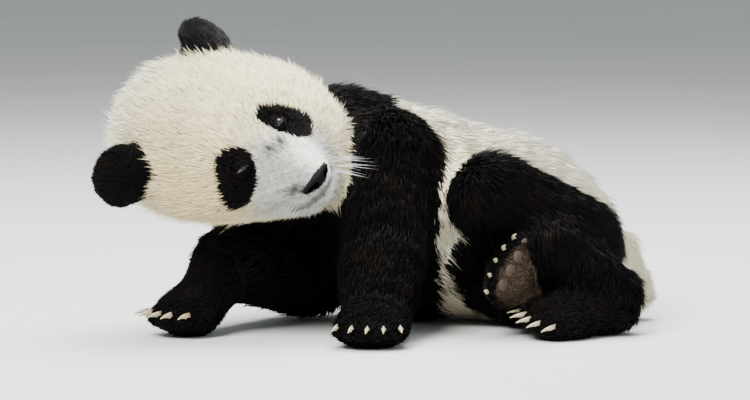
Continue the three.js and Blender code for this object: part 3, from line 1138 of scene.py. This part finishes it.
def fur_material(name, rough, sheen, streak, specular):
    """Hair: the painted colour with a fine unevenness from lock to lock."""
    n = Nodes(name)
    n.finish(Base_Color=n.coat(260, 3, 1 - streak), Roughness=rough, Specular_IOR_Level=specular)
    return n.finish(Sheen_Weight=sheen, Sheen_Roughness=0.5)


def skin_material():
    """The hide under the coat, in the coat's own colours."""
    n = Nodes("hide")
    n.finish(Base_Color=n.coat(400, 4, 0.75), Roughness=0.8, Specular_IOR_Level=0.1)
    return n.finish(Normal=n.bump(n.noise(900, 3), 0.0004))


def eye_material():
    """A wet, clear surface over the ball's colours."""
    n = Nodes("eye")
    n.finish(Base_Color=n.coat(2500, 2, 0.8), Roughness=0.12, Specular_IOR_Level=0.6)
    return n.finish(Coat_Weight=1.0, Coat_Roughness=0.02)


def leather_material():
    """The nose's smooth, finely grained leather."""
    n = Nodes("nose_leather")
    return n.finish(
        Base_Color=n.painted(), Roughness=0.42, Specular_IOR_Level=0.05, Normal=n.grain(900, 0.0005, 0.7)
    )


def nostril_shadow_material():
    """The nostrils' inside, painted as shadow in a matt black that gives back no light."""
    n = Nodes("nostril")
    return n.finish(Base_Color=n.coat(900, 2, 0.2), Roughness=0.9, Specular_IOR_Level=0.0)


def pad_material():
    """Bare grained leather."""
    n = Nodes("pad_leather")
    n.finish(Base_Color=n.coat(300, 3, 0.7), Roughness=0.75, Specular_IOR_Level=0.1)
    return n.finish(Normal=n.grain(1100, 0.0004, 0.8))


def claw_material():
    """Horn, a little browner in its grain."""
    n = Nodes("horn")
    return n.finish(Base_Color=n.coat(500, 3, (0.7, 0.66, 0.6)), Roughness=0.35, Specular_IOR_Level=0.5)


# -------- floor, light and camera

CAMERA_DISTANCE = 5.0
CAMERA_ELEVATION = math.radians(5)
CAMERA_LENS = 170.0
CAMERA_TARGET = (0.210, 0.012, -0.063)  # what the camera looks at, from the head's middle
FLOOR_SIZE = 120
FAR_CLIP = 200
LIT_PLACE = (0, 0, 0.15)  # what the lamps point at
# each lamp's place, width, power and colour
LAMPS = {
    "key": ((-1.6, -2.4, 3.4), 2.6, 450, (1.0, 0.985, 0.95)),
    "fill": ((2.6, -2.6, 1.6), 2.4, 40, (0.93, 0.97, 1.0)),
    "top": ((0.3, 1.0, 3.4), 3.0, 360, (0.98, 0.99, 1.0)),
}
SKY = (0.88, 0.93, 0.95)
SKY_STRENGTH = 0.56


def stage():
    """A plain pale floor, soft lights and the camera."""
    bpy.ops.mesh.primitive_plane_add(size=FLOOR_SIZE, location=(0, 0, 0))
    floor = bpy.context.object
    floor.name = "floor"
    n = Nodes("floor")
    shade = n.ramp(n.noise(1.5, 3), (0.3, (0.62, 0.63, 0.62)), (0.7, (0.66, 0.66, 0.65)))
    floor.data.materials.append(n.finish(Base_Color=shade, Roughness=0.9, Specular_IOR_Level=0.1))
    for name, (place, size, power, colour) in LAMPS.items():
        lamp = bpy.data.lights.new(name, "AREA")
        lamp.shape = "DISK"
        lamp.size = size
        lamp.energy = power
        lamp.color = colour
        obj = linked(name, lamp)
        obj.location = place
        obj.rotation_mode = "QUATERNION"
        obj.rotation_quaternion = (Vector(LIT_PLACE) - Vector(place)).to_track_quat("-Z", "Y")
    world = bpy.data.worlds.new("sky")
    world.use_nodes = True
    background = world.node_tree.nodes["Background"]
    background.inputs["Color"].default_value = (*SKY, 1)
    background.inputs["Strength"].default_value = SKY_STRENGTH
    bpy.context.scene.world = world
    camera = linked("camera", bpy.data.cameras.new("camera"))
    camera.data.lens = CAMERA_LENS
    back = np.array([0, -math.cos(CAMERA_ELEVATION), math.sin(CAMERA_ELEVATION)])
    camera.location = HEAD_MIDDLE + CAMERA_TARGET + back * CAMERA_DISTANCE
    camera.rotation_mode = "QUATERNION"
    camera.rotation_quaternion = Vector(-back).to_track_quat("-Z", "Y")
    camera.data.clip_end = FAR_CLIP
    bpy.context.scene.camera = camera


# -------- eyes, nose, claws and whiskers


PUPIL = (0.004, 0.004, 0.004)
IRIS = (0.022, 0.011, 0.006)
EYE_WHITE = (0.05, 0.038, 0.034)
PUPIL_EDGE = (11, 15)  # degrees from the eye's axis
IRIS_EDGE = (30, 34)
CORNEA_EDGE = (36, 10)
CORNEA_BULGE = 0.05


def eyeball(name, material):
    """A ball with a dark iris and pupil, looking out of the slit."""
    eye = EYES[name]
    bm = bmesh.new()
    bmesh.ops.create_uvsphere(bm, u_segments=48, v_segments=40, radius=1)
    mesh = mesh_from(bm, name + "_ball")
    co = corners_of(mesh)
    off = np.degrees(np.arccos(np.clip(co[:, 2], -1, 1)))
    reach = eye["radius"] * (1 + CORNEA_BULGE * smooth(*CORNEA_EDGE, off))
    set_corners(mesh, (co * reach[:, None]) @ eye["axes"] + eye["middle"])
    iris = blend(PUPIL, IRIS, smooth(*PUPIL_EDGE, off))
    paint(mesh, blend(iris, EYE_WHITE, smooth(*IRIS_EDGE, off)))
    mesh.shade_smooth()
    mesh.materials.append(material)
    obj = linked(name + "_ball", mesh)
    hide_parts(name)
    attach(obj, "root")


NOSE_VOXEL = 0.0009
NOSE_TURN = (1.10, 1.18)  # the places forward between which the nose's front begins
NOSTRIL_PLACE = (0.120, -0.412)  # a nostril's middle, sideways and crownward, and its half width and height
NOSTRIL_SIZE = (0.080, 0.050)
NOSTRIL_FALL = 0.10  # how far it falls away for each unit outward
NOSTRIL_DEPTH = 0.0062
NOSTRIL_SHARE = 0.42  # from this share of its depth on, a nostril has its own material, a matt black painted as the shadow inside it
NOSE_CLEFT = (0.012, 0.0012)  # the cleft's half width and depth
NOSE_BLACK = (0.0060, 0.0060, 0.0070)
# painted shadow: the near black of the nostrils' inside
NOSTRIL_SHADOW = (0.0004, 0.0004, 0.0004)


def nose_leather():
    """The bare nose: a rounded pad with two nostrils and a cleft."""
    mesh = remeshed(grown_solids(["nose"], 0.0), NOSE_VOXEL)
    triangulate(mesh)
    tris = triangles_of(mesh)
    co = spread(corners_of(mesh), edges_of(tris), 6)
    f, l, u = on_head(co).T
    side, height = NOSTRIL_PLACE
    across = (abs(l) - side) / NOSTRIL_SIZE[0]
    up = (u - height + NOSTRIL_FALL * (abs(l) - 0.1)) / NOSTRIL_SIZE[1]
    front = smooth(*NOSE_TURN, f)
    nostril = np.exp(-(across**2 + up**2))
    cleft = np.exp(-((l / NOSE_CLEFT[0]) ** 2)) * smooth(-0.36, -0.42, u)
    inward = front * (NOSTRIL_DEPTH * nostril + NOSE_CLEFT[1] * cleft)
    flatter = (1 - NOSE_THIN) * (u - LANDMARKS["nose"][2]) * HALF
    set_corners(mesh, co - np.outer(inward, FORWARD) - np.outer(flatter, CROWNWARD))
    # painted shadow: the nostrils are painted near black
    paint(mesh, blend(NOSE_BLACK, NOSTRIL_SHADOW, np.clip(nostril * 1.8, 0, 1) * front))
    inside = (nostril * front)[tris].mean(axis=1) > NOSTRIL_SHARE
    mesh.polygons.foreach_set("material_index", inside.astype(np.int32))
    mesh.shade_smooth()
    mesh.materials.append(leather_material())
    mesh.materials.append(nostril_shadow_material())
    obj = linked("nose_leather", mesh)
    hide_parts("nose")
    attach(obj, "root")


# the whiskers of one side: rows down the lip, whiskers in a row, and their roots' first place and spacing
WHISKER_ROWS, ROW_WHISKERS = 4, 4
WHISKER_ROOT = (0.98, 0.25, -0.42)
WHISKER_STEP = (0.055, 0.040)
# a whisker's length, its lean forward and outward, and its lean down in the upper row and more in the lower,
# on each side: those of the left stand free, and those of the right lie back along the cheek
WHISKERS = {1: (0.078, (0.30, 0.55), (0.50, 0.30)), -1: (0.026, (-0.60, 0.45), (0.20, 0.20))}
WHISKER_WIDTH = 0.0009
WHISKER_LIFT = 0.15  # a whisker stands out of the skin by at least this share of its length
WHISKER_SAG = 0.05  # and its tip sags by this share


def whiskers(co, tris, uv, material):
    """Stiff white hairs out of the upper lip, each one tuft."""
    roots, ways, lengths = [], [], []
    f, l, u = WHISKER_ROOT
    back, down = WHISKER_STEP
    for side, (length, (ahead, outward), (drop, more)) in WHISKERS.items():
        for row in range(WHISKER_ROWS):
            for number in range(ROW_WHISKERS):
                roots.append(from_head((f - number * back, side * (l + 0.4 * number * back), u - row * down)))
                lean = (ahead, side * outward, -drop - more * row / WHISKER_ROWS) + RANDOM.normal(0, 0.06, 3)
                ways.append(unit(lean @ HEAD_AXES))
                lengths.append(length * RANDOM.uniform(0.6, 1.0))
    tree = surface(co, tris)
    hits = [tree.find_nearest(Vector(p)) for p in roots]
    roots = np.array([hit[0] for hit in hits])
    normals = np.array([hit[1] for hit in hits])
    ways, lengths = np.array(ways), np.array(lengths)[:, None]
    lift = np.maximum(WHISKER_LIFT - (ways * normals).sum(axis=1), 0)
    ways = unit(ways + normals * lift[:, None])
    middle = roots + ways * lengths / 2
    tips = roots + ways * lengths + np.array([0, 0, -WHISKER_SAG]) * lengths
    side = unit(np.cross(ways, normals)) * WHISKER_WIDTH / 2
    over = unit(np.cross(side, ways)) * WHISKER_WIDTH / 2
    parts = (roots - normals * ROOT_SINK, middle, tips, side, over)
    colours = np.tile(CREAM_WHITE, (len(roots), 1))
    places = np.array([uv[hit[2]].mean(axis=0) for hit in hits])
    tuft_object("whiskers", parts, colours, places, material)


TOE_BACK = 0.0245  # from the middle of a claw back to the middle of its toe, and down from it
TOE_DOWN = 0.008
TOE_PAD = (0.0110, 0.0092, 0.0040)  # half sizes of a pad ahead, across, and out of the sole
PAD_SEARCH = 0.08  # how far under a toe the search for its sole starts


def sole_pads(co, tris):
    """The toes' pads, on the sole that shows."""
    ahead, _, dorsum = foot_axes(FOLDED_FOOT)
    tree = surface(co, tris)
    bm = bmesh.new()
    for claw in (c for c in CLAWS if c.startswith(FOLDED_FOOT)):
        toe = centre(claw) - TOE_BACK * ahead - TOE_DOWN * dorsum
        place, out, _, _ = tree.ray_cast(Vector(toe - PAD_SEARCH * dorsum), Vector(dorsum))
        if place is None:
            continue
        out = unit(np.array(out) - dorsum)
        way = unit(ahead - out * (ahead @ out))
        axes = np.array([way, np.cross(out, way), out])
        for vert in bmesh.ops.create_icosphere(bm, subdivisions=4, radius=1)["verts"]:
            vert.co = Vector(np.array(place) + np.array(vert.co) * TOE_PAD @ axes)
    mesh = mesh_from(bm, "sole_pads")
    paint(mesh, np.tile(PAD, (len(mesh.vertices), 1)))
    mesh.shade_smooth()
    mesh.materials.append(pad_material())
    obj = linked("sole_pads", mesh)
    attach(obj, "root")


CLAW_LENGTH = 0.035
CLAW_FADE = (0.35, 0.95)  # the shares of that length back from the point between which the horn darkens
CLAW_ROOT = (0.12, 0.060, 0.040)
CLAW_TIP = (0.62, 0.55, 0.36)


def claws(material):
    """Each claw as a smooth horn over its solid."""
    for node in CLAWS:
        bm = bmesh.new()
        bm.from_mesh(NODES[node].data)
        bmesh.ops.remove_doubles(bm, verts=bm.verts, dist=WELD)
        obj = linked(node + "_horn", mesh_from(bm, node + "_horn"))
        modifier = obj.modifiers.new("round", "SUBSURF")
        modifier.levels = modifier.render_levels = 2
        depsgraph = bpy.context.evaluated_depsgraph_get()
        rounded = bpy.data.meshes.new_from_object(obj.evaluated_get(depsgraph))
        obj.modifiers.clear()
        obj.data = rounded
        co = corners_of(rounded)
        tip = co[np.argmax(np.linalg.norm(co - co.mean(axis=0), axis=1))]
        back = np.linalg.norm(co - tip, axis=1) / CLAW_LENGTH
        paint(rounded, blend(CLAW_TIP, CLAW_ROOT, smooth(*CLAW_FADE, back)))
        rounded.shade_smooth()
        rounded.materials.append(material)
        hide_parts(node)
        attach(obj, "root")


# -------- the whole model


HIDE_SHADE_UNDER_CREAM = 0.75  # painted shade of the coat's depth: the hide's brightness under the light coat, against the coat's own
HIDE_SHADE_UNDER_BLACK = 0.8  # and under the dark one


def build():
    """Every piece of the model, in its place."""
    obj, co, tris, fields, bare = skin_fields()
    uv = unwrap(obj)
    light = fur_material("coat_light", 0.8, 0.15, 0.12, 0.2)
    dark = fur_material("coat_dark", 0.50, 0.0, 0.3, 0.07)
    h = on_head(co)
    black = smooth(0.45, 0.55, fields["dark"])
    black = np.maximum(black, smooth(-0.03, 0.03, patch_share(h)) * fields["head"])
    # painted shade: the hide seen between the tufts takes the coat's colours, darkened
    colour = blend(fields["light_colour"] * HIDE_SHADE_UNDER_CREAM, fields["dark_colour"] * HIDE_SHADE_UNDER_BLACK, black)
    bare_skin = np.maximum(np.clip(mouth_line(h) * 1.5, 0, 1) * (h[:, 0] > MUZZLE_REAR), nose_pad(h))
    colour = blend(colour, LIP, bare_skin * fields["head"])
    # painted highlight: a pale glint along each lower lid's wet edge
    colour = blend(colour, LID_GLINT, lid_glints(co, bare))
    paint(obj.data, colour)
    obj.data.materials.append(skin_material())
    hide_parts(*FLESH)
    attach(obj, "root")
    grow_coat(co, tris, uv, fields, bare, light, dark)
    ball = eye_material()
    for name in EYES:
        eyeball(name, ball)
    nose_leather()
    whiskers(co, tris, uv, light)
    sole_pads(co, tris)
    claws(claw_material())


stage()
build()
